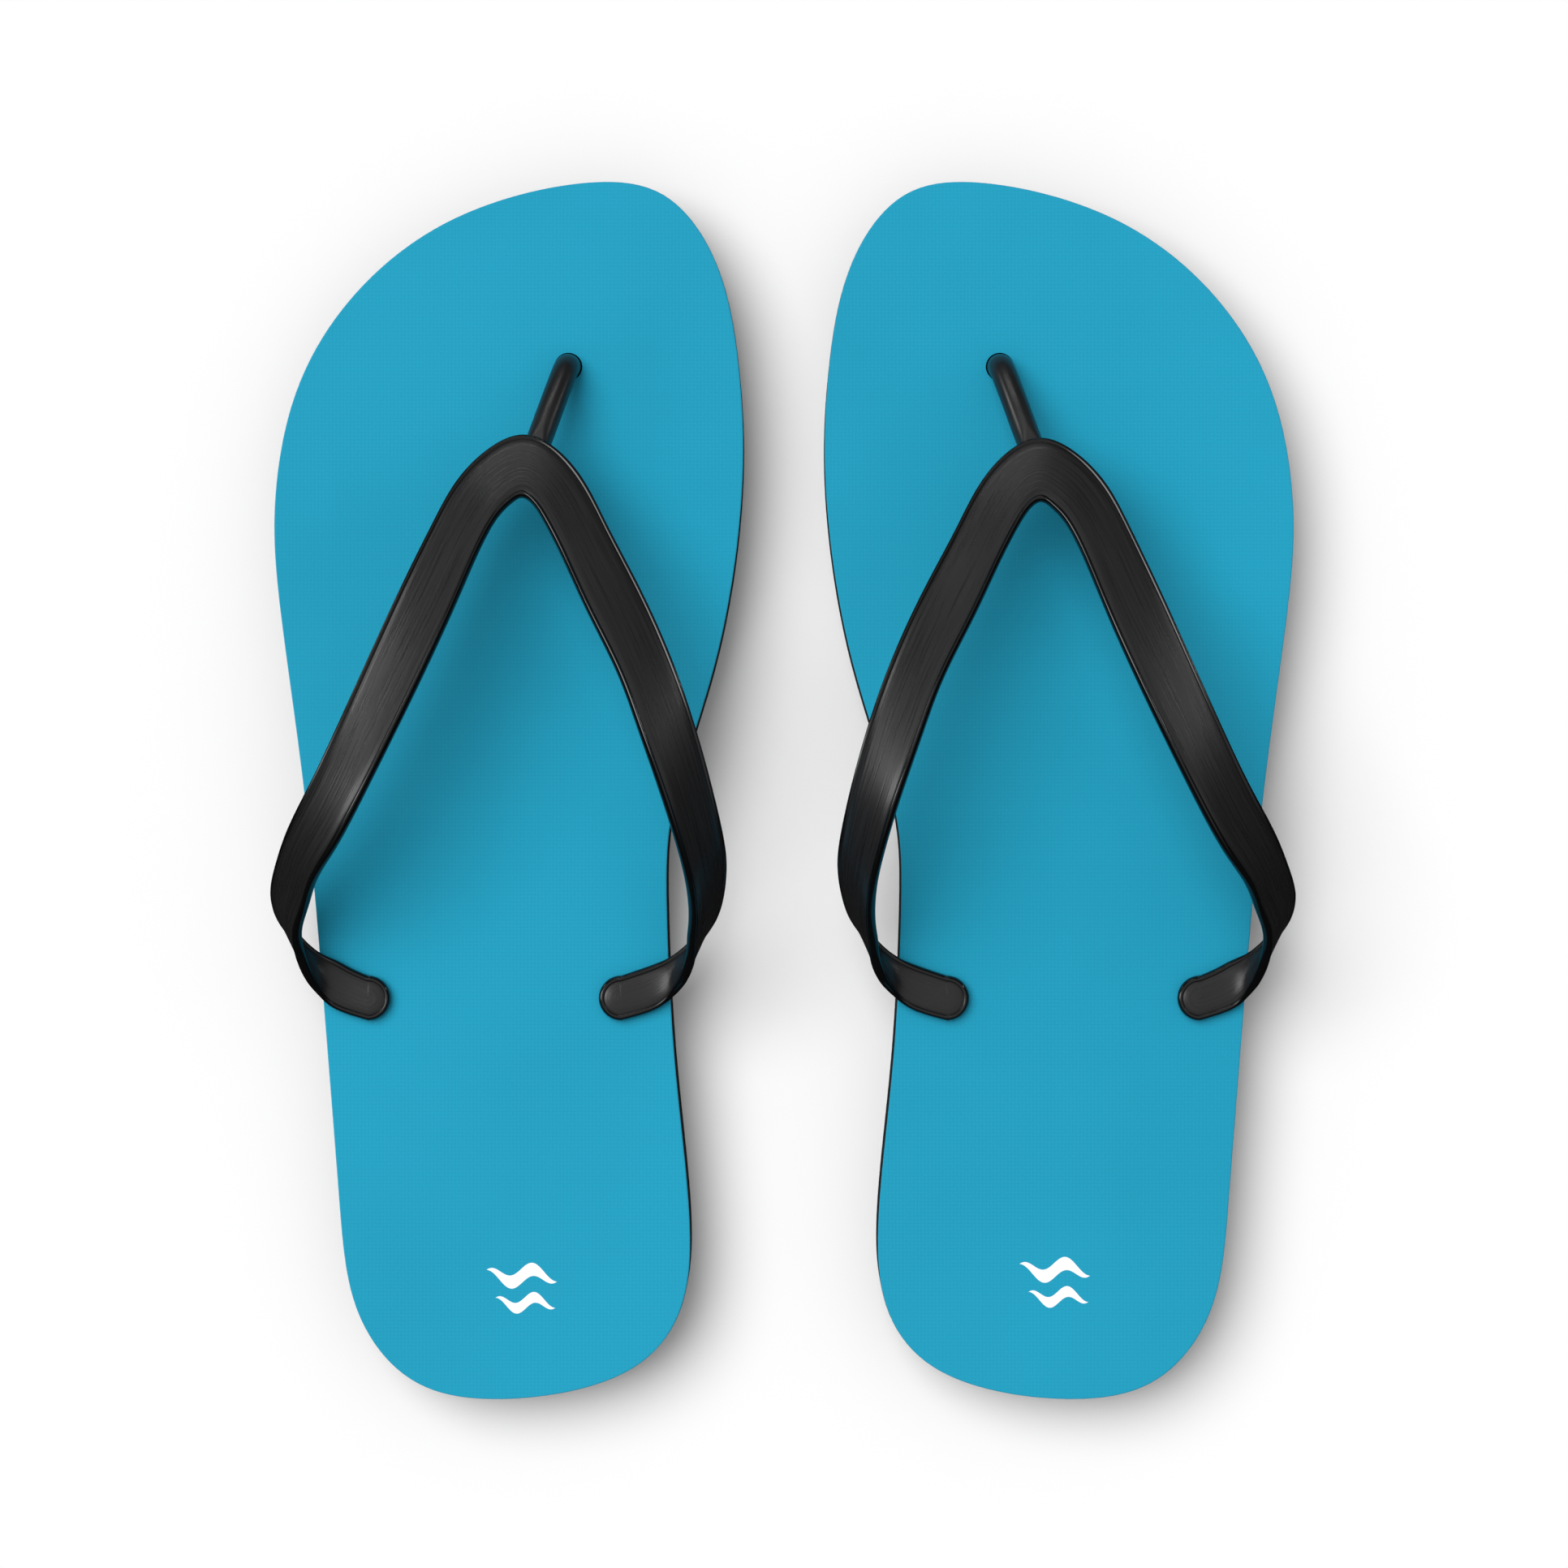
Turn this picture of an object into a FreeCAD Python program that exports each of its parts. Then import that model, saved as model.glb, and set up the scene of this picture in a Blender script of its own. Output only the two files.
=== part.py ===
"""A pair of flip flops: laminated soles, each with a one-piece moulded Y strap plugged through it.

The pair stands on z = 0 with its toes towards +Y. The origin is midway between the two soles.
Each sole is three bonded layers: a printed cloth cover, a foam midsole and a ribbed rubber outsole.
A worn sole bends across the ball of the foot, so each layer is cut there into a rear and a fore
solid, and the flex hinge runs along X through the cut's top edge.
"""
import FreeCAD, Part
import math
import os

from FreeCAD import Vector

# Driving dimensions in millimetres, kept in the document's spreadsheet.
DIMENSIONS = {
    "sole_length": 270.0,
    "pair_offset": 61.0,      # from the mid-plane between the soles to a sole's own centre line
    "flex_line": 50.0,        # y of the bend across the ball of the foot
    "cover_thick": 0.8,
    "midsole_thick": 11.2,
    "outsole_thick": 4.0,
    "edge_chamfer": 0.8,
    "rib_pitch": 7.0,
    "rib_gap": 1.6,
    "rib_depth": 1.0,
    "stem_radius": 2.6,
    "stem_hole": 2.8,
    "post_radius": 2.75,
    "post_hole": 3.1,
    "recess_radius": 7.6,
    "recess_depth": 3.6,
    "plug_radius": 7.0,
    "plug_thick": 2.2,
    "plug_lift": 1.0,         # how far the plug's face sits above the ground
    "web_half": 1.0,          # half the band's thickness along its middle
    "bead_half": 1.3,         # half its thickness at the raised bead along each edge
    "tab_radius": 5.2,
    "tab_thick": 2.8,
}
DRAWN_LENGTH = 270.0          # the length that the outline and strap points are drawn at
LEFT, RIGHT = -1, 1
SIDES = {"left": LEFT, "right": RIGHT}

# Sole outline of a left foot seen from above, anticlockwise from the tip: x is positive
# towards the big toe's side, y towards the toes, both from the middle of the sole.
OUTLINE = [
    (19.5, 134.8), (-12.3, 126.6), (-35.8, 108), (-47.6, 87), (-51.8, 64.5), (-51.1, 43.8),
    (-45.5, 0.6), (-41, -47.9), (-37.6, -91.1), (-33.6, -115.4), (-22.8, -129.9), (-4.8, -135),
    (25.7, -129.2), (38, -115.4), (40.1, -94.7), (36.9, -60.5), (35.1, -25.4), (36.5, -4),
    (45.9, 28.5), (51.8, 67.2), (51.1, 93.3), (46.3, 116.1), (35.5, 131.2),
]

# Holes through the sole, in the same coordinates.
TOE_HOLE = (13.2, 93.8)
MEDIAL_HOLE = (25.0, -46.0)
LATERAL_HOLE = (-31.0, -46.0)

# The strap's flat band, from the tab on the big toe's side, over the foot, round the V behind
# the toes and back to the other tab. Each station is the band's outer and inner edge.
BAND = [
    ((25, -41, 17.4), (25, -51, 17.4)), ((30, -39.3, 17.4), (33, -48.4, 17.6)),
    ((34, -37.8, 17.5), (36.4, -45.6, 19.1)), ((37.4, -36.2, 17.3), (39, -41.5, 23.5)),
    ((40.4, -34.2, 17), (40.5, -36.8, 26.8)), ((43, -31.3, 17.8), (40.7, -33, 29.5)),
    ((45.5, -27.7, 20.2), (41, -30, 32)), ((47.2, -23, 24.5), (41.1, -26, 35.5)),
    ((48.2, -15.3, 32), (40.4, -19.5, 41)), ((47.5, -8.2, 37.5), (38.8, -12.6, 45)),
    ((45, 3, 42), (35.6, -1.8, 49)), ((40.6, 18.5, 43.5), (30.4, 13, 49.3)),
    ((36, 31, 42.5), (25.8, 25.2, 47.8)), ((29.8, 44.4, 40), (19, 38.8, 44.8)),
    ((23.3, 56.8, 37), (13.3, 50.8, 41.5)), ((18.8, 65.5, 35), (9.2, 58.6, 39.8)),
    ((13, 73, 33), (6.8, 62, 38.7)), ((5, 77.2, 32), (4.6, 63.3, 38.2)),
    ((-3, 74, 33), (2.4, 62, 38.7)), ((-9.6, 67, 35), (-0.2, 59.2, 39.8)),
    ((-14.2, 58.5, 37), (-3.8, 52.6, 41.5)), ((-20.4, 45.2, 40), (-9, 40, 44.8)),
    ((-27, 30.3, 42), (-15.6, 25, 47.6)), ((-33.2, 16.3, 43), (-22.4, 10.8, 49)),
    ((-39.5, 3, 42), (-29.6, -3.4, 48.6)), ((-45, -7, 38), (-35.2, -13, 45.2)),
    ((-48.7, -15, 32), (-39.6, -19.4, 40.6)), ((-50.9, -22, 24.5), (-42.4, -25.6, 34.5)),
    ((-50.2, -27.3, 20.2), (-44.2, -29.8, 31.6)), ((-48, -31, 17.8), (-44.8, -33, 29.2)),
    ((-45.4, -33.9, 17), (-44.5, -36.8, 26.4)), ((-42, -36, 17.3), (-43.2, -41.5, 23.3)),
    ((-38, -37.6, 17.5), (-41, -46, 19.1)), ((-35, -39.2, 17.4), (-38.4, -48.4, 17.6)),
    ((-31, -41, 17.4), (-31, -51, 17.4)),
]
BAND_CUTS = [0, 6, 12, 17, 22, 28, 34]    # stations where one stretch of the band ends and the next starts
BEAD_DISTANCES = [0.35, 1.2, 2.4]         # of the bead's flank, crest and foot from the band's edge

# The toe post leans back from its hole into the V: distance along the lean, and height.
POST_TOP = (6.0, 71.5)
POST_PATH = [(0, 19.2), (19.5, 30.0), (25.5, 36.0)]
V_STATION = 17
POST_BEND_RADII = [5.0, 8.0]


def make_document():
    """The document, with the driving dimensions in a spreadsheet."""
    doc = FreeCAD.newDocument("flip_flops")
    sheet = doc.addObject("Spreadsheet::Sheet", "Dims")
    for row, (name, value) in enumerate(DIMENSIONS.items(), start=1):
        sheet.set(f"A{row}", name)
        sheet.set(f"B{row}", str(value))
        sheet.setAlias(f"B{row}", name)
    doc.recompute()
    return doc, sheet


def pair_x(side, x):
    """A sole's own x as the pair's x: the big toes face each other across x = 0."""
    return side * (dims.pair_offset - x * dims.sole_length / DRAWN_LENGTH)


def pair_point(side, point):
    """A drawn point of a sole or strap in the pair's frame. Heights don't grow with length."""
    z = point[2] if len(point) == 3 else 0.0
    return Vector(pair_x(side, point[0]), point[1] * dims.sole_length / DRAWN_LENGTH, z)


def origin_feature(body, role):
    return next(f for f in body.Origin.OriginFeatures if f.Role == role)


def new_sketch(body, name, geometry):
    """A sketch on the body's own XY plane."""
    sketch = body.newObject("Sketcher::SketchObject", name)
    sketch.AttachmentSupport = [(origin_feature(body, "XY_Plane"), "")]
    sketch.MapMode = "FlatFace"
    for item in geometry:
        sketch.addGeometry(item, False)
    return sketch


def outline_curve(side):
    """The sole's outline as one closed smooth curve, its points spaced by the root of their distance."""
    points = [pair_point(side, p) for p in OUTLINE]
    parameters = [0.0]
    for a, b in zip(points, points[1:] + points[:1]):
        parameters.append(parameters[-1] + math.sqrt((b - a).Length))
    curve = Part.BSplineCurve()
    curve.interpolate(Points=points, Parameters=parameters, PeriodicFlag=True)
    return curve


def rectangle(x0, y0, x1, y1):
    corners = [Vector(x0, y0), Vector(x1, y0), Vector(x1, y1), Vector(x0, y1)]
    return [Part.LineSegment(a, b) for a, b in zip(corners, corners[1:] + corners[:1])]


def circle(centre, radius):
    return Part.Circle(centre, Vector(0, 0, 1), radius)


def pocket(body, name, geometry, depth=None):
    """Cuts upwards from the body's XY plane, right through if no depth is given."""
    before = body.Shape.Volume
    cut = body.newObject("PartDesign::Pocket", name)
    cut.Profile = new_sketch(body, name + "_sketch", geometry)
    cut.Reversed = True
    if depth is None:
        cut.Type = "ThroughAll"
    else:
        cut.Type = "Length"
        cut.setExpression("Length", depth)
    body.Document.recompute()
    if body.Shape.Volume > before - 1.0:
        raise RuntimeError(f"{name} removed nothing from {body.Label}")
    return cut


def sole_layer(doc, side_name, layer, half, thickness, base, holes):
    """One half of one layer: the whole outline padded, then cut off at the flex line."""
    side = SIDES[side_name]
    body = doc.addObject("PartDesign::Body", f"{side_name}_{layer}_{half}")
    pad = body.newObject("PartDesign::Pad", "Slab")
    pad.Profile = new_sketch(body, "Outline", [outline_curve(side)])
    pad.setExpression("Length", thickness)
    doc.recompute()
    reach = dims.sole_length
    edge, far = (dims.flex_line, reach) if half == "rear" else (-reach, dims.flex_line)
    flex_cut = pocket(body, "Flex_cut", rectangle(-reach, edge, reach, far))
    if layer == "outsole":
        chamfer_ground_edge(body, flex_cut)
    circles = [circle(pair_point(side, centre), radius) for centre, radius in holes]
    pocket(body, "Plug_holes", circles)
    if layer == "outsole":
        recesses = [circle(pair_point(side, centre), dims.recess_radius) for centre, _ in holes]
        pocket(body, "Plug_recesses", recesses, "Dims.recess_depth")
        cut_ribs(body, half)
    body.setExpression("Placement.Base.z", base)
    doc.recompute()
    return body


def chamfer_ground_edge(body, slab):
    """A small chamfer round the outline's edge that meets the ground."""
    names = [
        f"Edge{i}"
        for i, edge in enumerate(slab.Shape.Edges, start=1)
        if edge.BoundBox.ZMax < 1e-6 and edge.BoundBox.YLength > 1.0
    ]
    chamfer = body.newObject("PartDesign::Chamfer", "Ground_chamfer")
    chamfer.Base = (slab, names)
    chamfer.setExpression("Size", "Dims.edge_chamfer")
    body.Document.recompute()


def cut_ribs(body, half):
    """Grooves across the outsole, spaced so that the flex line falls midway between two."""
    pitch, gap, reach = dims.rib_pitch, dims.rib_gap, dims.sole_length
    away = 1 if half == "fore" else -1
    first = dims.flex_line + away * pitch / 2
    run = reach / 2 - away * dims.flex_line
    count = int((run - pitch) // pitch)
    groove = pocket(
        body, "Rib_gap", rectangle(-reach, first - gap / 2, reach, first + gap / 2),
        "Dims.rib_depth",
    )
    before = body.Shape.Volume
    pattern = body.newObject("PartDesign::LinearPattern", "Rib_gaps")
    pattern.Originals = [groove]
    pattern.Direction = (origin_feature(body, "Y_Axis"), [""])
    pattern.Reversed = away < 0
    pattern.Occurrences = count
    pattern.setExpression("Length", f"Dims.rib_pitch * {count - 1}")
    body.Tip = pattern
    body.Document.recompute()
    if body.Shape.Volume > before - 1.0:
        raise RuntimeError(f"the grooves removed nothing from {body.Label}")


def half_section(a, b, normal):
    """One face of the band's cross-section, from edge a over a bead, the web and a bead to edge b."""
    across = (b - a).normalize()
    heights = [(dims.web_half + dims.bead_half) / 2.7, dims.bead_half, dims.web_half + 0.05]
    flank = list(zip(BEAD_DISTANCES, heights))
    points = [a, *[a + across * d + normal * h for d, h in flank]]
    points.append((a + b) / 2 + normal * dims.web_half)
    points += [*[b - across * d + normal * h for d, h in reversed(flank)], b]
    steps = len(points) - 1
    curve = Part.BSplineCurve()
    curve.interpolate(
        Points=points, Parameters=[k / steps for k in range(steps + 1)],
        InitialTangent=normal * steps, FinalTangent=normal * -steps,
    )
    return curve.toShape()


def make_band(side):
    """The band, lofted through its stations in stretches that share their end sections."""
    edges = [(pair_point(side, outer), pair_point(side, inner)) for outer, inner in BAND]
    middles = [(a + b) / 2 for a, b in edges]
    line = Part.BSplineCurve()
    line.interpolate(middles)
    sections = []
    for (a, b), middle in zip(edges, middles):
        along = Vector(line.tangent(line.parameter(middle))[0])
        normal = along.cross((b - a).normalize()).normalize()
        sections.append(Part.Wire([half_section(a, b, normal), half_section(b, a, normal * -1)]))
    stretches = [
        Part.makeLoft(sections[first:last + 1], True, False)
        for first, last in zip(BAND_CUTS, BAND_CUTS[1:])
    ]
    return stretches[0].multiFuse(stretches[1:])


def make_post(side):
    """The toe post: up out of its hole, then leaning back to the underside of the V."""
    foot, top = pair_point(side, TOE_HOLE), pair_point(side, POST_TOP)
    lean = (top - foot).normalize()

    def at(run, height):
        return foot + lean * run + Vector(0, 0, height)

    corners = [at(0, dims.plug_lift), *[at(*p) for p in POST_PATH]]
    edges, start = [], corners[0]
    for before, corner, after, radius in zip(corners, corners[1:], corners[2:], POST_BEND_RADII):
        back, ahead = (before - corner).normalize(), (after - corner).normalize()
        half_turn = (math.pi - back.getAngle(ahead)) / 2
        setback = radius * math.tan(half_turn)
        bisector = (back + ahead).normalize()
        middle = corner + bisector * (radius / math.cos(half_turn) - radius)
        arc_start, arc_end = corner + back * setback, corner + ahead * setback
        edges.append(Part.LineSegment(start, arc_start).toShape())
        edges.append(Part.Arc(arc_start, middle, arc_end).toShape())
        start = arc_end
    edges.append(Part.LineSegment(start, corners[-1]).toShape())
    profile = Part.Wire([circle(corners[0], dims.post_radius).toShape()])
    return Part.Wire(edges).makePipeShell([profile], True, False).cut(above_the_v(side))


def above_the_v(side):
    """A block that rests on the middle of the band at the V, to trim the post's end."""
    outer, inner = BAND[V_STATION]
    slope = math.degrees(math.atan2(inner[2] - outer[2], outer[1] - inner[1]))
    block = Part.makeBox(60, 60, 30, Vector(-30, -30, 0))
    block.rotate(Vector(0, 0, 0), Vector(1, 0, 0), -slope)
    block.translate(pair_point(side, outer))
    return block


def make_tab(side, hole):
    """A tab's round end, the stem below it and the plug that holds the stem under the sole."""
    centre = pair_point(side, hole)
    middle = BAND[0][0][2]
    end = Part.makeCylinder(
        dims.tab_radius, dims.tab_thick, centre + Vector(0, 0, middle + 0.03 - dims.tab_thick / 2))
    stem = Part.makeCylinder(
        dims.stem_radius, middle - dims.plug_lift, centre + Vector(0, 0, dims.plug_lift))
    return [end, stem, make_plug(centre)]


def make_plug(centre):
    return Part.makeCylinder(
        dims.plug_radius, dims.plug_thick, centre + Vector(0, 0, dims.plug_lift))


def make_strap(doc, side_name):
    """The whole strap is one moulding: band, toe post, two stems and three plugs.

    It's drawn for the left foot; the right foot's is its mirror image.
    """
    pieces = [
        make_post(LEFT), make_plug(pair_point(LEFT, TOE_HOLE)),
        *make_tab(LEFT, MEDIAL_HOLE), *make_tab(LEFT, LATERAL_HOLE),
    ]
    shape = make_band(LEFT).multiFuse(pieces).removeSplitter()
    if SIDES[side_name] == RIGHT:
        shape = shape.mirror(Vector(0, 0, 0), Vector(1, 0, 0))
    strap = doc.addObject("Part::Feature", f"{side_name}_strap")
    strap.Shape = shape.Solids[0] if len(shape.Solids) == 1 else shape
    return strap


def make_flip_flop(doc, side_name):
    """All the solids of one flip flop."""
    rear = [(MEDIAL_HOLE, dims.stem_hole), (LATERAL_HOLE, dims.stem_hole)]
    fore = [(TOE_HOLE, dims.post_hole)]
    layers = [
        ("outsole", "Dims.outsole_thick", "0 mm"),
        ("midsole", "Dims.midsole_thick", "Dims.outsole_thick * 1 mm"),
        ("cover", "Dims.cover_thick", "(Dims.outsole_thick + Dims.midsole_thick) * 1 mm"),
    ]
    made = [
        sole_layer(doc, side_name, layer, half, thickness, base, holes)
        for layer, thickness, base in layers
        for half, holes in (("rear", rear), ("fore", fore))
    ]
    return [*made, make_strap(doc, side_name)]


def check(doc, parts):
    """Stops before anything is written if an object failed or a shape isn't one good solid."""
    doc.recompute()
    failed = [o.Name for o in doc.Objects if {"Invalid", "Error"} & set(o.State)]
    if failed:
        raise RuntimeError(f"failed objects: {failed}")
    for part in parts:
        shape = part.Shape
        if shape.isNull() or not shape.isValid() or len(shape.Solids) != 1:
            raise RuntimeError(f"{part.Label}: valid {shape.isValid()}, {len(shape.Solids)} solids")


def write(parts):
    os.makedirs("parts", exist_ok=True)
    for part in parts:
        part.Shape.exportStep(f"parts/{part.Label}.step")
        box = part.Shape.BoundBox
        print(f"{part.Label:22s} {part.Shape.Volume / 1000:8.2f} cm3  "
              f"x {box.XMin:.2f}..{box.XMax:.2f}  y {box.YMin:.2f}..{box.YMax:.2f}  "
              f"z {box.ZMin:.2f}..{box.ZMax:.2f}")


doc, dims = make_document()
parts = [part for side_name in SIDES for part in make_flip_flop(doc, side_name)]
check(doc, parts)
write(parts)
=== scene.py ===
import math

import bmesh
import bpy
import numpy as np
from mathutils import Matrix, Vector


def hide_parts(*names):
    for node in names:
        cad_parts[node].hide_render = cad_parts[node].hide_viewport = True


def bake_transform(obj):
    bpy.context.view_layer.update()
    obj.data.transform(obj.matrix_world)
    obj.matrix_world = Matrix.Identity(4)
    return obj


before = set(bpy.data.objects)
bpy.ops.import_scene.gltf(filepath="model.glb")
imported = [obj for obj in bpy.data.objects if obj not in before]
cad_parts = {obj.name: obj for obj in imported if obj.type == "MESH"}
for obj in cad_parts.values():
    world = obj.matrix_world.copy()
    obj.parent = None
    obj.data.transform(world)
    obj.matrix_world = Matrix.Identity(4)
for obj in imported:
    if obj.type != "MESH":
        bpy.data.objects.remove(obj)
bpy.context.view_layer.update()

MM = 0.001
LEFT, RIGHT = -1, 1
SIDES = {"left": LEFT, "right": RIGHT}

# ---- The shape, in millimetres. x is a shoe's own, positive towards the big toe's side.
SHOE_CENTRE = 61.0
HALF_LENGTH, PAST_SIDE = 135.0, 60.0
FLEX_Y, FLEX_HALF_SPAN = 50.0, 30.0
SOLE_BEND = (FLEX_Y - FLEX_HALF_SPAN, FLEX_Y + FLEX_HALF_SPAN)
OUTLINE = [
    (19.5, 134.8), (-12.3, 126.6), (-35.8, 108), (-47.6, 87), (-51.8, 64.5), (-51.1, 43.8),
    (-45.5, 0.6), (-41, -47.9), (-37.6, -91.1), (-33.6, -115.4), (-22.8, -129.9), (-4.8, -135),
    (25.7, -129.2), (38, -115.4), (40.1, -94.7), (36.9, -60.5), (35.1, -25.4), (36.5, -4),
    (45.9, 28.5), (51.8, 67.2), (51.1, 93.3), (46.3, 116.1), (35.5, 131.2),
]
OUTLINE_STEPS = 340
# Edge profiles of the three layers, from the bottom up: inset from the outline, and height.
OUTSOLE_EDGE = [(0.8, 0), (0.25, 0.35), (0, 0.9), (0, 3.75), (0.18, 4.0)]
MIDSOLE_EDGE = [(0.18, 4.0), (0, 4.25), (0, 8), (0, 12), (0, 14.95), (0.12, 15.2)]
COVER_EDGE = [(0.12, 15.2), (0.05, 15.35), (0.05, 15.75), (0.12, 15.92), (0.3, 16.0)]
TOE_HOLE, MEDIAL_HOLE, LATERAL_HOLE = (13.2, 93.8), (25.0, -46.0), (-31.0, -46.0)
STEM_HOLE, POST_HOLE = 2.8, 3.1
CUT_MARGIN = 1.0
RECESS_RADIUS, RECESS_DEPTH = 7.6, 3.6
RIB_PITCH, RIB_GAP, RIB_DEPTH = 7.0, 1.6, 1.0

# The strap's band, from the big toe's side over the foot and back: outer and inner edge.
BAND = [
    ((25, -41, 17.4), (25, -51, 17.4)), ((30, -39.3, 17.4), (33, -48.4, 17.6)),
    ((34, -37.8, 17.5), (36.4, -45.6, 19.1)), ((37.4, -36.2, 17.3), (39, -41.5, 23.5)),
    ((40.4, -34.2, 17), (40.5, -36.8, 26.8)), ((43, -31.3, 17.8), (40.7, -33, 29.5)),
    ((45.5, -27.7, 20.2), (41, -30, 32)), ((47.2, -23, 24.5), (41.1, -26, 35.5)),
    ((48.2, -15.3, 32), (40.4, -19.5, 41)), ((47.5, -8.2, 37.5), (38.8, -12.6, 45)),
    ((45, 3, 42), (35.6, -1.8, 49)), ((40.6, 18.5, 43.5), (30.4, 13, 49.3)),
    ((36, 31, 42.5), (25.8, 25.2, 47.8)), ((29.8, 44.4, 40), (19, 38.8, 44.8)),
    ((23.3, 56.8, 37), (13.3, 50.8, 41.5)), ((18.8, 65.5, 35), (9.2, 58.6, 39.8)),
    ((13, 73, 33), (6.8, 62, 38.7)), ((5, 77.2, 32), (4.6, 63.3, 38.2)),
    ((-3, 74, 33), (2.4, 62, 38.7)), ((-9.6, 67, 35), (-0.2, 59.2, 39.8)),
    ((-14.2, 58.5, 37), (-3.8, 52.6, 41.5)), ((-20.4, 45.2, 40), (-9, 40, 44.8)),
    ((-27, 30.3, 42), (-15.6, 25, 47.6)), ((-33.2, 16.3, 43), (-22.4, 10.8, 49)),
    ((-39.5, 3, 42), (-29.6, -3.4, 48.6)), ((-45, -7, 38), (-35.2, -13, 45.2)),
    ((-48.7, -15, 32), (-39.6, -19.4, 40.6)), ((-50.9, -22, 24.5), (-42.4, -25.6, 34.5)),
    ((-50.2, -27.3, 20.2), (-44.2, -29.8, 31.6)), ((-48, -31, 17.8), (-44.8, -33, 29.2)),
    ((-45.4, -33.9, 17), (-44.5, -36.8, 26.4)), ((-42, -36, 17.3), (-43.2, -41.5, 23.3)),
    ((-38, -37.6, 17.5), (-41, -46, 19.1)), ((-35, -39.2, 17.4), (-38.4, -48.4, 17.6)),
    ((-31, -41, 17.4), (-31, -51, 17.4)),
]
BAND_STEPS = 420
TAB_HEIGHT, TAB_RADIUS, TAB_STEPS = 17.4, 5.0, 25
BEAD_RADIUS, BEAD_HEIGHT = 0.75, 1.15
BEAD_DEGREES = (0, 20, 45, 68, 90, 113, 137)
# The web between the beads: distance from the band's edge and half-thickness, then the middle's.
WEB_HEIGHTS = [(1.75, 0.95), (3.2, 1.0)]
WEB_CROWN = 1.06
POST_TOP = (6.0, 71.5)
# The post's middle line: distance from its hole towards POST_TOP, and height.
POST_PATH = [(0, 1.5), (0, 8), (0, 15), (0.8, 19.4), (4.2, 22.4), (11, 26), (19, 30), (25.5, 36)]
# The band's outer edge at the V, as y and height, and how fast the band rises from it heelwards.
V_OUTER, V_SLOPE = (77.2, 32.0), 0.446
POST_RADIUS, STEM_RADIUS = 2.85, 2.6
STEM_FOOT, STEM_TOP = 2.5, 16.9
# A plug from its middle underneath to its middle on top: radius and height.
PLUG_PROFILE = [
    (0, 1.35), (3.4, 1.35), (3.9, 1.0), (6.5, 1.0), (6.85, 1.15), (7, 1.5), (7, 2.7), (6.85, 3.05),
    (6.5, 3.2), (0, 3.2),
]
# The straps have settled a little to one side: shift in x and y per millimetre above the tabs.
STRAP_LEAN = {"left": (-0.015, 0.0), "right": (-0.04, -0.045)}


# ---- Curves
def spline(points, closed):
    """A smooth cubic curve through points, as a function of 0..1, spaced by the root of distance."""
    p = np.array(points, float)
    if closed:
        p = np.vstack([p, p[:1]])
    t = np.concatenate([[0], np.cumsum(np.sqrt(np.linalg.norm(np.diff(p, axis=0), axis=1)))])
    h, slope = np.diff(t), np.diff(p, axis=0) / np.diff(t)[:, None]
    count = len(p)
    a, b = np.eye(count), np.zeros_like(p)
    for i in range(1, count - 1):
        a[i, i - 1:i + 2] = h[i - 1], 2 * (h[i - 1] + h[i]), h[i]
        b[i] = 6 * (slope[i] - slope[i - 1])
    if closed:
        a[0, 0], a[0, 1], a[0, -2] = 2 * (h[0] + h[-1]), h[0], h[-1]
        b[0] = 6 * (slope[0] - slope[-1])
        a[-1, 0] = -1
    m = np.linalg.solve(a, b)

    def at(u):
        x = np.asarray(u, float) * t[-1]
        i = np.clip(np.searchsorted(t, x, "right") - 1, 0, count - 2)
        left, right = (x - t[i])[:, None], (t[i + 1] - x)[:, None]
        w = h[i][:, None]
        return (
            (m[i] * right**3 + m[i + 1] * left**3) / (6 * w)
            + (p[i] / w - m[i] * w / 6) * right
            + (p[i + 1] / w - m[i + 1] * w / 6) * left
        )
    return at


def even_points(curve, count, closed):
    """count points an equal distance apart along a curve."""
    fine = curve(np.linspace(0, 1, 6000))
    run = np.concatenate([[0], np.cumsum(np.linalg.norm(np.diff(fine, axis=0), axis=1))])
    wanted = np.linspace(0, run[-1], count, endpoint=not closed)
    return np.column_stack([np.interp(wanted, run, fine[:, k]) for k in range(fine.shape[1])])


def unit(v):
    return v / np.linalg.norm(v, axis=-1, keepdims=True)


# ---- Mesh helpers
def placed(side, x, y, z):
    """A shoe's own millimetres as metres in the pair's frame."""
    return Vector((side * (SHOE_CENTRE - x) * MM, y * MM, z * MM))


def add_rings(bm, rings, closed_ring=True):
    """Skins a list of point rings with quads, and returns the rings' vertices."""
    made = [[bm.verts.new(p) for p in ring] for ring in rings]
    count = len(rings[0])
    for low, high in zip(made, made[1:]):
        for i in range(count if closed_ring else count - 1):
            j = (i + 1) % count
            bm.faces.new((low[i], low[j], high[j], high[i]))
    return made


def revolve(bm, side, centre, profile, steps=40):
    """A round solid about a vertical axis, from a profile of (radius, height)."""
    angles = [2 * math.pi * k / steps for k in range(steps)]
    rings = [
        [
            placed(side, centre[0] + max(r, 0.01) * math.cos(a), centre[1] + max(r, 0.01) * math.sin(a), z)
            for a in angles
        ]
        for r, z in profile
    ]
    made = add_rings(bm, rings)
    bm.faces.new(made[0])
    bm.faces.new(made[-1])


def new_object(bm, name):
    bmesh.ops.recalc_face_normals(bm, faces=bm.faces)
    mesh = bpy.data.meshes.new(name)
    bm.to_mesh(mesh)
    bm.free()
    obj = bpy.data.objects.new(name, mesh)
    bpy.context.scene.collection.objects.link(obj)
    return obj


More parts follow.
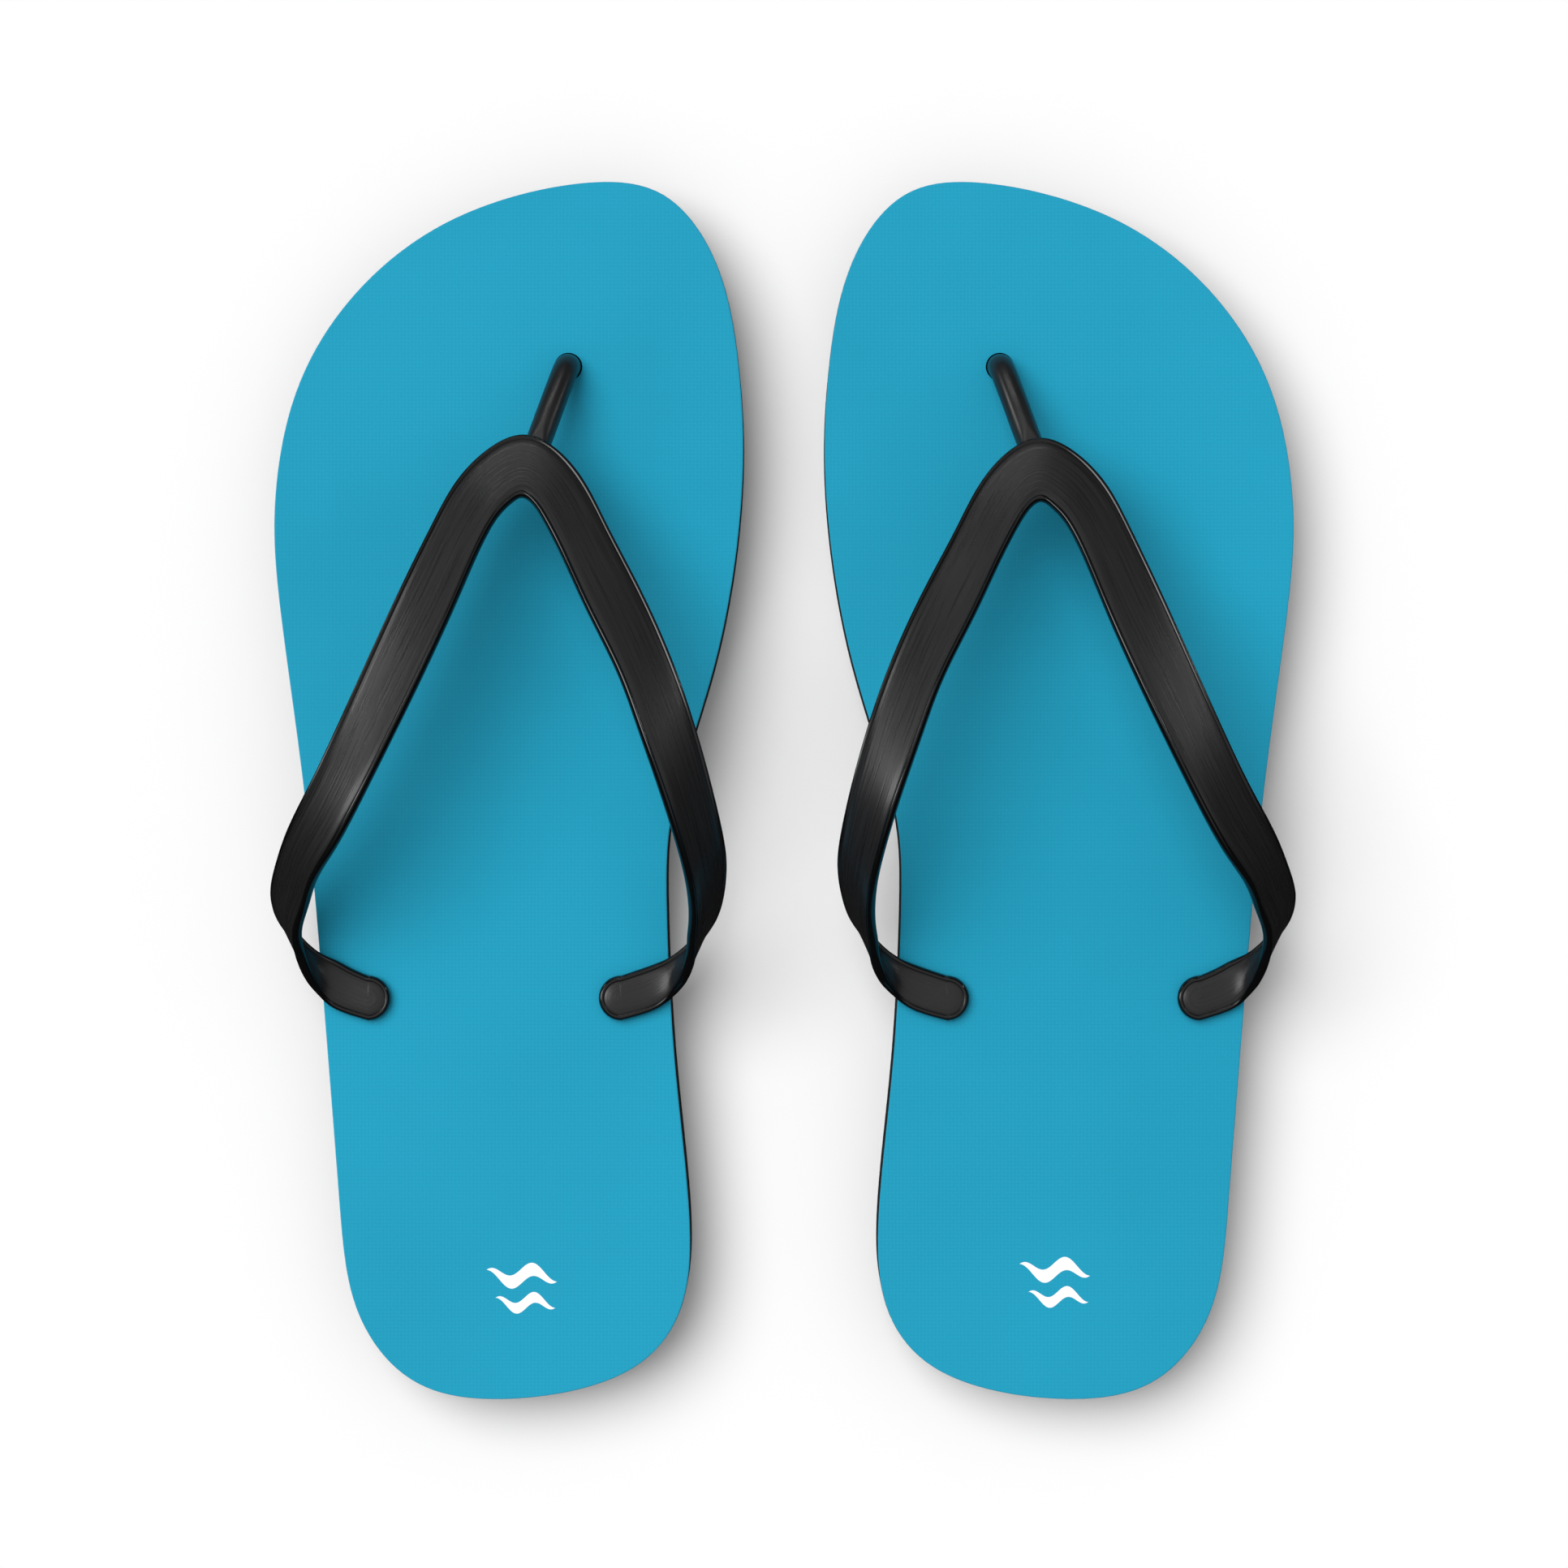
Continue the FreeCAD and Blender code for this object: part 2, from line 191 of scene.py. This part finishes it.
def cut_with(obj, cutter):
    """Takes cutter out of obj for good."""
    modifier = obj.modifiers.new("cut", "BOOLEAN")
    modifier.operation = "DIFFERENCE"
    modifier.solver = "EXACT"
    modifier.object = cutter
    bpy.context.view_layer.update()
    result = bpy.data.meshes.new_from_object(obj.evaluated_get(bpy.context.evaluated_depsgraph_get()))
    obj.modifiers.clear()
    obj.data = result
    bpy.data.objects.remove(cutter)


def keep_rest(obj):
    """Stores each vertex's rest position, so that textures stay put when the piece bends."""
    attribute = obj.data.attributes.new("rest", "FLOAT_VECTOR", "POINT")
    attribute.data.foreach_set("vector", np.array([v.co for v in obj.data.vertices]).ravel())


def bend_with_sole(obj):
    """Bakes the piece's placement into its mesh; nothing is bent here."""
    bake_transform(obj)


# ---- The sole's layers
def sole_solid(name, side, edge):
    """A layer as a stack of rings round the outline, closed above and below."""
    line = even_points(spline(OUTLINE, True), OUTLINE_STEPS, True)
    ahead = np.roll(line, -1, axis=0) - np.roll(line, 1, axis=0)
    inward = unit(np.column_stack([-ahead[:, 1], ahead[:, 0]]))
    bm = bmesh.new()
    rings = [
        [placed(side, x, y, z) for x, y in line + inward * inset]
        for inset, z in edge
    ]
    made = add_rings(bm, rings)
    bm.faces.new(made[0])
    bm.faces.new(made[-1])
    return new_object(bm, name)


def hole_cutter(side, edge):
    """The holes for the post and the stems, cut right through the layer with this edge profile."""
    low, high = edge[0][1] - CUT_MARGIN, edge[-1][1] + CUT_MARGIN
    bm = bmesh.new()
    for centre, radius in ((TOE_HOLE, POST_HOLE), (MEDIAL_HOLE, STEM_HOLE), (LATERAL_HOLE, STEM_HOLE)):
        revolve(bm, side, centre, [(radius, low), (radius, high)])
    return new_object(bm, "cutter")


def add_box(bm, low, high):
    """A box between two opposite corners."""
    made = bmesh.ops.create_cube(bm, size=1.0)["verts"]
    centre, size = (Vector(low) + Vector(high)) / 2, Vector(high) - Vector(low)
    for v in made:
        v.co = Vector(a * b for a, b in zip(v.co, size)) + centre


def recess_cutter(side):
    bm = bmesh.new()
    for centre in (TOE_HOLE, MEDIAL_HOLE, LATERAL_HOLE):
        revolve(bm, side, centre, [(RECESS_RADIUS, -CUT_MARGIN), (RECESS_RADIUS, RECESS_DEPTH)])
    return new_object(bm, "cutter")


def groove_cutter(side):
    """Grooves across the whole outsole, the flex line midway between two."""
    bm = bmesh.new()
    first = math.ceil((-HALF_LENGTH - FLEX_Y) / RIB_PITCH)
    last = math.floor((HALF_LENGTH - FLEX_Y) / RIB_PITCH)
    for k in range(first + 1, last):
        y = FLEX_Y + (k + 0.5) * RIB_PITCH
        corners = (
            placed(side, PAST_SIDE, y - RIB_GAP / 2, -CUT_MARGIN),
            placed(side, -PAST_SIDE, y + RIB_GAP / 2, RIB_DEPTH),
        )
        add_box(bm, [min(pair) for pair in zip(*corners)], [max(pair) for pair in zip(*corners)])
    return new_object(bm, "cutter")


def slice_for_bending(obj):
    """Cuts the mesh into narrow strips across the ball of the foot, so that it bends smoothly."""
    bm = bmesh.new()
    bm.from_mesh(obj.data)
    for y in np.arange(SOLE_BEND[0] - 2, SOLE_BEND[1] + 2.1, 2.0):
        geometry = bm.verts[:] + bm.edges[:] + bm.faces[:]
        bmesh.ops.bisect_plane(bm, geom=geometry, plane_co=(0, y * MM, 0), plane_no=(0, 1, 0))
    for face in bm.faces:
        face.smooth = True
    for edge in bm.edges:
        if len(edge.link_faces) == 2:
            flats = [abs(face.normal.z) > 0.999 for face in edge.link_faces]
            edge.smooth = flats[0] == flats[1] and edge.calc_face_angle() < math.radians(35)
    bm.to_mesh(obj.data)
    bm.free()


def finish_layer(obj, side_name, layer, materials):
    """Slices a layer into strips for bending, gives it its materials and puts it in place of its two CAD
    halves.
    """
    slice_for_bending(obj)
    keep_rest(obj)
    for material in materials:
        obj.data.materials.append(material)
    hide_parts(f"{side_name}_{layer}_rear", f"{side_name}_{layer}_fore")
    bend_with_sole(obj)


def make_sole(side_name, looks):
    side = SIDES[side_name]
    outsole = sole_solid(f"{side_name}_outsole_rubber", side, OUTSOLE_EDGE)
    cut_with(outsole, hole_cutter(side, OUTSOLE_EDGE))
    cut_with(outsole, recess_cutter(side))
    cut_with(outsole, groove_cutter(side))
    finish_layer(outsole, side_name, "outsole", [looks["rubber"]])
    midsole = sole_solid(f"{side_name}_midsole_foam", side, MIDSOLE_EDGE)
    cut_with(midsole, hole_cutter(side, MIDSOLE_EDGE))
    finish_layer(midsole, side_name, "midsole", [looks["foam"]])
    cover = sole_solid(f"{side_name}_cover_cloth", side, COVER_EDGE)
    cut_with(cover, hole_cutter(side, COVER_EDGE))
    finish_layer(cover, side_name, "cover", [looks[f"{side_name}_cover"], looks["cloth_edge"]])
    for face in cover.data.polygons:
        face.material_index = int(abs(face.normal.z) < 0.5)


# ---- The strap
def half_profile():
    """From the band's edge over the bead to its middle: distance from the edge, half-thickness."""
    points = []
    for degrees in BEAD_DEGREES:
        a = math.radians(degrees)
        points.append((BEAD_RADIUS * (1 - math.cos(a)), BEAD_HEIGHT * math.sin(a)))
    return points + WEB_HEIGHTS


def band_ring(outer, inner, normal):
    """A section's points round the band, with each point's distance from the middle line."""
    across = unit(inner - outer)
    half = np.linalg.norm(inner - outer) / 2
    middle = (outer + inner) / 2
    profile = half_profile()
    face = [(d - half, h) for d, h in profile] + [(0, WEB_CROWN)]
    face += [(half - d, h) for d, h in reversed(profile)]
    loop = face + [(s, -h) for s, h in reversed(face[1:-1])]
    return [(middle + across * s + normal * h, s / half) for s, h in loop]


def add_band(bm, side, lay):
    """The band over the foot, with each point's place on it in lay. Returns the band's length."""
    outer_curve = spline([o for o, _ in BAND], False)
    inner_curve = spline([i for _, i in BAND], False)
    stations = np.linspace(0, 1, BAND_STEPS)
    outer, inner = outer_curve(stations), inner_curve(stations)
    middle = (outer + inner) / 2
    along = unit(np.gradient(middle, axis=0))
    normal = unit(np.cross(along, unit(inner - outer)))
    normal[0] = normal[-1] = (0, 0, -1)
    run = np.concatenate([[0], np.cumsum(np.linalg.norm(np.diff(middle, axis=0), axis=1))])
    rows = [band_ring(o, i, n) for o, i, n in zip(outer, inner, normal)]
    made = add_rings(bm, [[placed(side, *p) for p, _ in row] for row in rows])
    for verts, row, distance in zip(made, rows, run):
        for vert, (_, share) in zip(verts, row):
            vert[lay] = Vector((distance * MM, share, 0))
    return run[-1]


def add_tab_end(bm, side, lay, centre, towards, distance):
    """The round end of a tab: half of the band's section swept through half a turn."""
    profile = half_profile()
    radial = [(0, WEB_CROWN)] + [(TAB_RADIUS - d, h) for d, h in reversed(profile)]
    radial += [(r, -h) for r, h in reversed(radial[:-1])]
    angles = np.linspace(-math.pi / 2, math.pi / 2, TAB_STEPS)
    rows = [
        [
            placed(side, centre[0] + towards * r * math.cos(a), centre[1] + r * math.sin(a), TAB_HEIGHT + h)
            for r, h in radial
        ]
        for a in angles
    ]
    made = add_rings(bm, rows, closed_ring=False)
    for verts, a in zip(made, angles):
        for vert, (r, _) in zip(verts, radial):
            vert[lay] = Vector((distance * MM + r * math.cos(a) * MM, r / TAB_RADIUS, 0))


def add_post(bm, side, lay):
    """The toe post, a round rod that leans back from its hole to the underside of the V."""
    foot, top = np.array(TOE_HOLE), np.array(POST_TOP)
    lean = unit(top - foot)
    points = [(*(foot + lean * run), z) for run, z in POST_PATH]
    line = even_points(spline(points, False), 60, False)
    along = unit(np.gradient(line, axis=0))
    side_way = np.array([-lean[1], lean[0], 0.0])
    angles = np.linspace(0, 2 * math.pi, 36, endpoint=False)
    rows = []
    for centre, forward in zip(line, along):
        up = np.cross(forward, side_way)
        rows.append([
            placed(side, *(centre + POST_RADIUS * (side_way * math.cos(a) + up * math.sin(a))))
            for a in angles
        ])
    made = add_rings(bm, rows)
    bm.faces.new(made[0])
    bm.faces.new(made[-1])
    for k, verts in enumerate(made):
        for vert in verts:
            vert[lay] = Vector((k * 0.7 * MM, 0, 0))
            vert.co.z = min(vert.co.z, (V_OUTER[1] + (V_OUTER[0] - vert.co.y / MM) * V_SLOPE) * MM)


def lean_strap(bm, side_name):
    """Shifts each point in proportion to its height above the tabs."""
    lean_x, lean_y = STRAP_LEAN[side_name]
    for v in bm.verts:
        rise = max(0.0, v.co.z - TAB_HEIGHT * MM)
        v.co.x += lean_x * rise
        v.co.y += lean_y * rise


def make_strap(side_name, looks):
    """The whole strap is one moulding, so it's one piece here too."""
    side = SIDES[side_name]
    bm = bmesh.new()
    lay = bm.verts.layers.float_vector.new("lay")
    length = add_band(bm, side, lay)
    add_tab_end(bm, side, lay, MEDIAL_HOLE, -1, 0)
    add_tab_end(bm, side, lay, LATERAL_HOLE, 1, length)
    bmesh.ops.remove_doubles(bm, verts=bm.verts, dist=0.06 * MM)
    lean_strap(bm, side_name)
    add_post(bm, side, lay)
    for centre in (MEDIAL_HOLE, LATERAL_HOLE):
        revolve(bm, side, centre, [(STEM_RADIUS, STEM_FOOT), (STEM_RADIUS, STEM_TOP)], steps=32)
    for centre in (TOE_HOLE, MEDIAL_HOLE, LATERAL_HOLE):
        revolve(bm, side, centre, PLUG_PROFILE, steps=48)
    for face in bm.faces:
        face.smooth = True
    for edge in bm.edges:
        if len(edge.link_faces) == 2:
            edge.smooth = edge.calc_face_angle() < math.radians(50)
    strap = new_object(bm, f"{side_name}_thong_strap")
    keep_rest(strap)
    strap.data.materials.append(looks["pvc"])
    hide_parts(f"{side_name}_strap")
    bend_with_sole(strap)


# ---- Materials
# Where a colour Mix node keeps its two colours and its result.
MIX_A, MIX_B, MIX_RESULT = 6, 7, 2


class Look:
    """A material with one Principled shader, and short ways to add and join nodes."""

    def __init__(self, name, **settings):
        self.material = bpy.data.materials.new(name)
        self.material.use_nodes = True
        self.tree = self.material.node_tree
        self.shader = self.tree.nodes["Principled BSDF"]
        for socket, value in settings.items():
            self.shader.inputs[socket.replace("_", " ")].default_value = value

    def node(self, kind, settings=None, **inputs):
        made = self.tree.nodes.new("ShaderNode" + kind)
        for key, value in (settings or {}).items():
            setattr(made, key, value)
        for key, value in inputs.items():
            self.put(made.inputs[key.replace("_", " ")], value)
        return made

    def put(self, socket, value):
        if isinstance(value, bpy.types.NodeSocket):
            self.tree.links.new(value, socket)
        else:
            socket.default_value = value

    def math(self, operation, *values):
        made = self.tree.nodes.new("ShaderNodeMath")
        made.operation = operation
        for socket, value in zip(made.inputs, values):
            self.put(socket, value)
        return made.outputs[0]

    def vector(self, name):
        return self.node("Attribute", {"attribute_name": name}).outputs["Vector"]

    def parts(self, vector):
        return self.node("SeparateXYZ", Vector=vector).outputs

    def noise(self, vector, scale, detail=2.0, roughness=0.5):
        made = self.node("TexNoise", Vector=vector, Scale=scale, Detail=detail, Roughness=roughness)
        return made.outputs["Fac"]

    def ramp(self, value, low, high, to_low=0.0, to_high=1.0):
        made = self.node("MapRange", {"interpolation_type": "SMOOTHSTEP"})
        for socket, number in zip(made.inputs, (value, low, high, to_low, to_high)):
            self.put(socket, number)
        return made.outputs[0]

    def mix(self, factor, a, b):
        made = self.node("Mix", {"data_type": "RGBA"})
        self.put(made.inputs["Factor"], factor)
        self.put(made.inputs[MIX_A], a)
        self.put(made.inputs[MIX_B], b)
        return made.outputs[MIX_RESULT]

    def bump(self, height, strength, distance):
        made = self.node("Bump", Height=height, Strength=strength, Distance=distance)
        return made.outputs["Normal"]

    def set(self, socket, value):
        self.put(self.shader.inputs[socket], value)


def linear(r, g, b):
    """A colour given in 0..255 screen values, as the shader wants it."""
    def one(c):
        c /= 255
        return c / 12.92 if c <= 0.04045 else ((c + 0.055) / 1.055) ** 2.4
    return (one(r), one(g), one(b), 1.0)


WEAVE_PITCH = 0.8
STROKE_SWING, STROKE_EDGE = 5.2, (0.02, 0.16)
# The middle of each heel's print, in the pair's own millimetres.
PRINT_CENTRES = {"left": (-58.1, -110.9), "right": (60.0, -109.6)}
# Heights over which the cover's cut edge turns from painted shade, a darker copy of the cloth colour, to
# the cloth colour.
EDGE_SHADE_FADE = (15.65, 15.75)
FLOOR_WHITE = 0.83
CLOTH = linear(33, 153, 185)
CLOTH_DARK = linear(31, 147, 178)
PRINT = linear(236, 240, 242)


def weave(look, rest, pitch):
    """A plain weave's height: two sets of threads that take turns on top."""
    x, y, _ = look.parts(rest)
    u, v = look.math("MULTIPLY", x, math.pi / pitch), look.math("MULTIPLY", y, math.pi / pitch)
    across, along = look.math("SINE", u), look.math("SINE", v)
    turn = look.math("MULTIPLY", across, along)
    warp, weft = look.math("ABSOLUTE", across), look.math("ABSOLUTE", along)
    over = look.ramp(turn, -0.25, 0.25)
    under = look.math("SUBTRACT", 1.0, over)
    first, second = look.math("MULTIPLY", warp, over), look.math("MULTIPLY", weft, under)
    return look.math("ADD", first, second)


def ripple(look, x, y, centre, half_length, amplitude, thickness):
    """1 inside a wavy brush stroke that tapers to both ends, 0 outside."""
    u = look.math("DIVIDE", look.math("SUBTRACT", x, centre[0] * MM), half_length * MM)
    v = look.math("SUBTRACT", y, centre[1] * MM)
    swing = look.math("MULTIPLY", look.math("SINE", look.math("MULTIPLY", u, STROKE_SWING)), amplitude * MM)
    off = look.math("ABSOLUTE", look.math("SUBTRACT", v, swing))
    fullness = look.math("SUBTRACT", 1.0, look.math("MULTIPLY", u, u))
    half_width = look.math("MULTIPLY", look.math("MAXIMUM", fullness, 0.0), thickness * MM)
    inside = look.math("SUBTRACT", half_width, off)
    return look.ramp(inside, *(bound * MM for bound in STROKE_EDGE))


def cover_look(name, mark):
    """Printed cloth: a fine plain weave with painted shade in the gaps between its threads, fine random
    speckle, slightly uneven dye and a small printed pair of waves.
    """
    look = Look(name, Specular_IOR_Level=0.12)
    rest = look.vector("rest")
    x, y, _ = look.parts(rest)
    threads = weave(look, rest, WEAVE_PITCH * MM)
    cloudy = look.noise(rest, 14.0, 3.0)
    fine = look.noise(rest, 1500.0, 2.0)
    dyed = look.mix(look.ramp(cloudy, 0.3, 0.7), CLOTH, CLOTH_DARK)
    # Painted shade: the gaps between the threads are darkened towards a darker copy of the cloth colour,
    # together with fine random speckle
    thread_gap_shade = look.math("MULTIPLY", look.ramp(threads, 0.55, 0.1), 0.26)
    shaded_gaps_and_speckle = look.mix(look.math("ADD", thread_gap_shade, look.math("MULTIPLY", fine, 0.08)), dyed, linear(26, 112, 142))
    upper = ripple(look, x, y, (mark[0], mark[1] + 3.3), 8.0, 1.4, 1.7)
    lower = ripple(look, x, y, (mark[0] + 0.8, mark[1] - 2.7), 6.8, 1.2, 1.4)
    ink = look.math("MAXIMUM", upper, lower)
    look.set("Base Color", look.mix(ink, shaded_gaps_and_speckle, PRINT))
    look.set("Roughness", look.ramp(ink, 0.0, 1.0, 0.82, 0.6))
    height = look.math("ADD", threads, look.math("MULTIPLY", fine, 0.35))
    look.set("Normal", look.bump(height, 0.25, 0.1 * MM))
    return look.material


def cloth_edge_look():
    """The cut edge of the cloth, frayed: painted shade on its side, a darker copy of the cloth colour below
    a frayed line, and the cloth colour on its rounded top.
    """
    look = Look("cloth_edge", Roughness=0.9, Specular_IOR_Level=0.2)
    rest = look.vector("rest")
    _, _, z = look.parts(rest)
    fray = look.noise(rest, 2200.0, 3.0, 0.7)
    frayed = look.math("ADD", z, look.math("MULTIPLY", fray, 0.2 * MM))
    # layer is 0 on the edge's side, which gets painted shade (a darker copy of the cloth colour), and 1 on
    # its rounded top
    layer = look.ramp(frayed, *(bound * MM for bound in EDGE_SHADE_FADE))
    look.set("Base Color", look.mix(layer, linear(24, 88, 108), linear(44, 150, 182)))
    look.set("Normal", look.bump(fray, 0.5, 0.2 * MM))
    return look.material


def foam_look():
    """Closed-cell foam with the small pits of a die-cut edge."""
    look = Look("sole_foam", Specular_IOR_Level=0.35)
    rest = look.vector("rest")
    cells = look.node("TexVoronoi", Vector=rest, Scale=1500.0, Randomness=1.0).outputs["Distance"]
    broad = look.noise(rest, 60.0, 3.0)
    shade = look.mix(look.ramp(cells, 0.0, 0.55), linear(22, 22, 24), linear(34, 34, 36))
    look.set("Base Color", look.mix(look.math("MULTIPLY", broad, 0.3), shade, linear(44, 44, 46)))
    look.set("Roughness", look.ramp(cells, 0.0, 0.6, 0.88, 0.7))
    look.set("Normal", look.bump(cells, 0.4, 0.2 * MM))
    return look.material


def rubber_look():
    """Moulded rubber with a fine pebbled skin."""
    look = Look("sole_rubber", Specular_IOR_Level=0.45)
    rest = look.vector("rest")
    pebble = look.node("TexVoronoi", Vector=rest, Scale=900.0, Randomness=0.9).outputs["Distance"]
    dust = look.noise(rest, 35.0, 5.0, 0.65)
    look.set("Base Color", look.mix(look.ramp(dust, 0.45, 0.75), linear(24, 24, 25), linear(42, 41, 40)))
    look.set("Roughness", look.ramp(dust, 0.4, 0.7, 0.55, 0.75))
    look.set("Normal", look.bump(pebble, 0.35, 0.25 * MM))
    return look.material


def pvc_look():
    """Glossy moulded PVC: smooth beads, and a satin web with fine lines along it."""
    look = Look("strap_pvc", Specular_IOR_Level=0.42)
    rest = look.vector("rest")
    run, share, _ = look.parts(look.vector("lay"))
    from_middle = look.math("ABSOLUTE", share)
    web = look.ramp(from_middle, 0.86, 0.78)
    stretched = look.node(
        "CombineXYZ", X=look.math("MULTIPLY", run, 16.0), Y=look.math("MULTIPLY", share, 5.0),
    ).outputs[0]
    lines = look.noise(stretched, 3.0, 4.0, 0.6)
    streaks = look.math("MULTIPLY", lines, web)
    mottle = look.noise(rest, 120.0, 3.0)
    look.set("Base Color", look.mix(streaks, linear(8, 8, 9), linear(36, 36, 37)))
    gloss = look.ramp(mottle, 0.3, 0.7, 0.12, 0.18)
    satin = look.math("ADD", look.math("MULTIPLY", lines, 0.3), 0.15)
    on_web = look.math("MULTIPLY", satin, web)
    on_beads = look.math("MULTIPLY", gloss, look.math("SUBTRACT", 1.0, web))
    look.set("Roughness", look.math("ADD", on_web, on_beads))
    look.set("Normal", look.bump(streaks, 0.25, 0.2 * MM))
    return look.material


def floor_look():
    """Matt white, just bright enough to burn out where no shadow falls."""
    look = Look("floor", Roughness=0.9, Specular_IOR_Level=0.1)
    look.set("Base Color", (FLOOR_WHITE, FLOOR_WHITE, FLOOR_WHITE, 1))
    return look.material


# ---- The set
def add_key():
    """A large soft key from the upper left, even over the whole floor. Glossy parts don't mirror it."""
    light = bpy.data.lights.new("key", "SUN")
    light.angle = math.radians(50)
    light.energy = 2.6
    obj = bpy.data.objects.new("key", light)
    obj.rotation_euler = Vector((0.65, -0.5, -1.4)).to_track_quat("-Z", "Y").to_euler()
    obj.visible_glossy = False
    bpy.context.scene.collection.objects.link(obj)


def add_strip(name, location, size, power):
    """A strip light that only shows as a highlight on the glossy straps."""
    light = bpy.data.lights.new(name, "AREA")
    light.shape = "RECTANGLE"
    light.size, light.size_y = size
    light.energy = power
    obj = bpy.data.objects.new(name, light)
    obj.location = location
    obj.visible_diffuse = False
    aim = Vector((0, 0, 0.02)) - Vector(location)
    obj.rotation_euler = aim.to_track_quat("-Z", "Y").to_euler()
    bpy.context.scene.collection.objects.link(obj)


def make_floor():
    """A floor a hair below the soles, so that it never meets their ribs. Glossy parts don't mirror it."""
    bm = bmesh.new()
    bmesh.ops.create_grid(bm, x_segments=4, y_segments=4, size=40.0)
    floor = new_object(bm, "floor")
    floor.location.z = -0.1 * MM
    floor.visible_glossy = False
    floor.data.materials.append(floor_look())


def make_camera():
    """Straight above the pair, at the height from which the soles' inner sides just show."""
    data = bpy.data.cameras.new("camera")
    data.sensor_width = 36.0
    data.lens = 91.6
    camera = bpy.data.objects.new("camera", data)
    camera.location = (0.0, 0.00135, 0.9)
    bpy.context.scene.collection.objects.link(camera)
    bpy.context.scene.camera = camera


def make_world():
    """Soft light from overhead that falls off towards the horizon, faster for what is mirrored.

    The camera itself sees plain white.
    """
    world = bpy.data.worlds.new("studio")
    bpy.context.scene.world = world
    world.use_nodes = True
    tree = world.node_tree
    direction = tree.nodes.new("ShaderNodeTexCoord").outputs["Generated"]
    height = tree.nodes.new("ShaderNodeSeparateXYZ")
    tree.links.new(direction, height.inputs[0])
    falls = []
    for low, high, dark, bright in ((0.0, 0.8, 0.1, 0.6), (0.5, 0.99, 0.015, 0.65)):
        fall = tree.nodes.new("ShaderNodeMapRange")
        fall.interpolation_type = "SMOOTHSTEP"
        tree.links.new(height.outputs["Z"], fall.inputs["Value"])
        for name, value in (("From Min", low), ("From Max", high), ("To Min", dark), ("To Max", bright)):
            fall.inputs[name].default_value = value
        falls.append(fall)
    ray = tree.nodes.new("ShaderNodeLightPath")
    reflected, seen = tree.nodes.new("ShaderNodeMix"), tree.nodes.new("ShaderNodeMix")
    tree.links.new(ray.outputs["Is Glossy Ray"], reflected.inputs["Factor"])
    tree.links.new(falls[0].outputs[0], reflected.inputs["A"])
    tree.links.new(falls[1].outputs[0], reflected.inputs["B"])
    tree.links.new(ray.outputs["Is Camera Ray"], seen.inputs["Factor"])
    tree.links.new(reflected.outputs["Result"], seen.inputs["A"])
    seen.inputs["B"].default_value = 1.0
    background = tree.nodes["Background"]
    background.inputs["Color"].default_value = (1, 1, 1, 1)
    tree.links.new(seen.outputs["Result"], background.inputs["Strength"])


def make_set():
    make_floor()
    make_camera()
    add_key()
    add_strip("left_strip", (-0.85, 0.05, 0.95), (0.35, 0.9), 7.0)
    add_strip("rim_strip", (-1.0, 0.58, 0.4), (0.25, 0.25), 2.0)
    add_strip("top_strip", (-0.2, 1.1, 0.62), (0.8, 0.05), 1.6)
    add_strip("right_strip", (0.9, 0.5, 0.45), (0.02, 0.6), 0.8)
    make_world()
    bpy.context.scene.view_settings.view_transform = "Standard"


def main():
    looks = {
        "rubber": rubber_look(), "foam": foam_look(), "pvc": pvc_look(), "cloth_edge": cloth_edge_look(),
    }
    for side_name in SIDES:
        looks[f"{side_name}_cover"] = cover_look(f"{side_name}_cover_print", PRINT_CENTRES[side_name])
        make_sole(side_name, looks)
        make_strap(side_name, looks)
    make_set()


main()
